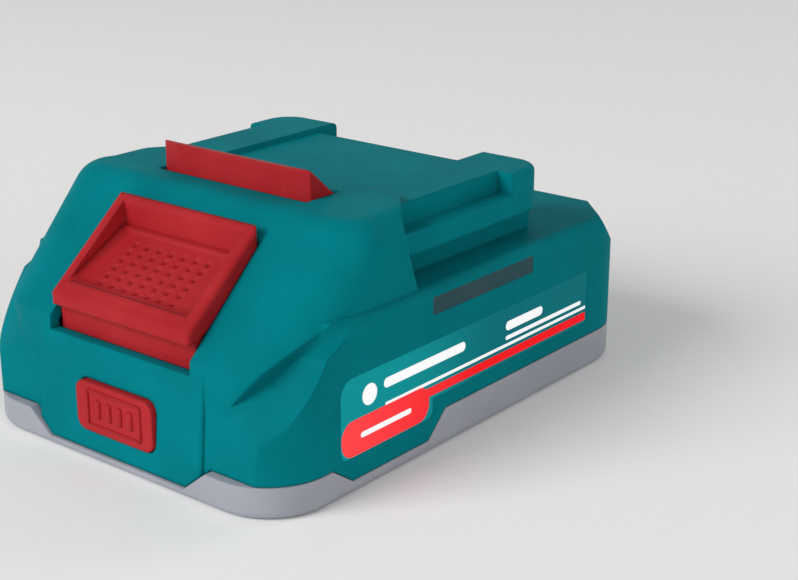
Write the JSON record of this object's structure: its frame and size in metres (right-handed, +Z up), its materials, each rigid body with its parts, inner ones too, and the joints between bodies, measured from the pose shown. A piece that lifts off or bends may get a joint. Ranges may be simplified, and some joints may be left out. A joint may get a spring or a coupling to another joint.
{
  "type": "lithium-ion battery",
  "caption": "Slide-on power tool battery pack with side rails, a sprung release latch with a finger dish and hook, and a push-to-test charge gauge.",
  "frame": {"origin": "middle of the flat base, on the surface that the pack stands on", "axes": "+Z up, +Y towards the terminal end that goes into the tool first, -Y the release button end, +X to the right seen from the button end"},
  "size_m": [0.076, 0.107, 0.05],
  "materials": {
    "teal_shell": "fine satin moulding",
    "grey_shell": "fine satin moulding",
    "red_plastic": "satin",
    "black_plastic": "matt",
    "white_plastic": "satin",
    "spring_steel": "drawn wire",
    "screw_steel": "blackened",
    "nickel": "rolled strip",
    "copper": "tinned copper alloy",
    "circuit_board": "solder mask",
    "lamp_lens": "clear resin",
    "cable_skin": "film",
    "ceramic": "glazed",
    "foam": "closed cell",
    "fish_paper": "pressed paper",
    "cell_wrap": "shrink wrap",
    "label_film": "printed film",
    "dark_film": "printed film"
  },
  "bodies": {
    "pack": {"top_case": "teal_shell", "bottom_tray": "grey_shell", "spring_seat": "black_plastic", "latch_spring_left": "spring_steel", "latch_spring_right": "spring_steel", "gauge_board": "circuit_board", "protection_board": "circuit_board", "gauge_leds": "lamp_lens", "gauge_switch": "black_plastic", "gauge_cable": "cable_skin", "cell_holder_left": "black_plastic", "cell_holder_right": "black_plastic", "terminal_block": "black_plastic", "monitor_chip": "black_plastic", "mosfets": "black_plastic", "shunt_resistor": "nickel", "board_capacitors": "ceramic", "thermistor": "ceramic", "foam_pad": "foam", "insulator_left": "fish_paper", "insulator_right": "fish_paper", "side_label_left": "label_film", "side_label_right": "label_film", "rating_strip_left": "dark_film", "rating_strip_right": "dark_film", "case_screws": "screw_steel", "board_screws": "screw_steel", "cell_1": "cell_wrap", "cell_2": "cell_wrap", "cell_3": "cell_wrap", "cell_4": "cell_wrap", "cell_5": "cell_wrap", "strip_negative": "nickel", "link_1_2": "nickel", "link_2_3": "nickel", "link_3_4": "nickel", "link_4_5": "nickel", "strip_positive": "nickel", "contact_negative": "copper", "contact_identity": "copper", "contact_temperature": "copper", "contact_positive": "copper"},
    "latch": {"release_latch": "red_plastic"},
    "gauge": {"gauge_button": "red_plastic", "switch_plunger": "white_plastic"}
  },
  "joints": [
    {"name": "release_slide", "type": "slide", "parent": "pack", "child": "latch", "axis": [0, 0, -1], "range_m": [0, 0.0046], "stiffness_N_per_m": 5700, "springref_m": -0.002, "deforming": ["latch_spring_left", "latch_spring_right"]},
    {"name": "gauge_press", "type": "slide", "parent": "pack", "child": "gauge", "axis": [0, 1, 0], "range_m": [0, 0.0005], "stiffness_N_per_m": 2400, "springref_m": -0.0001}
  ]
}
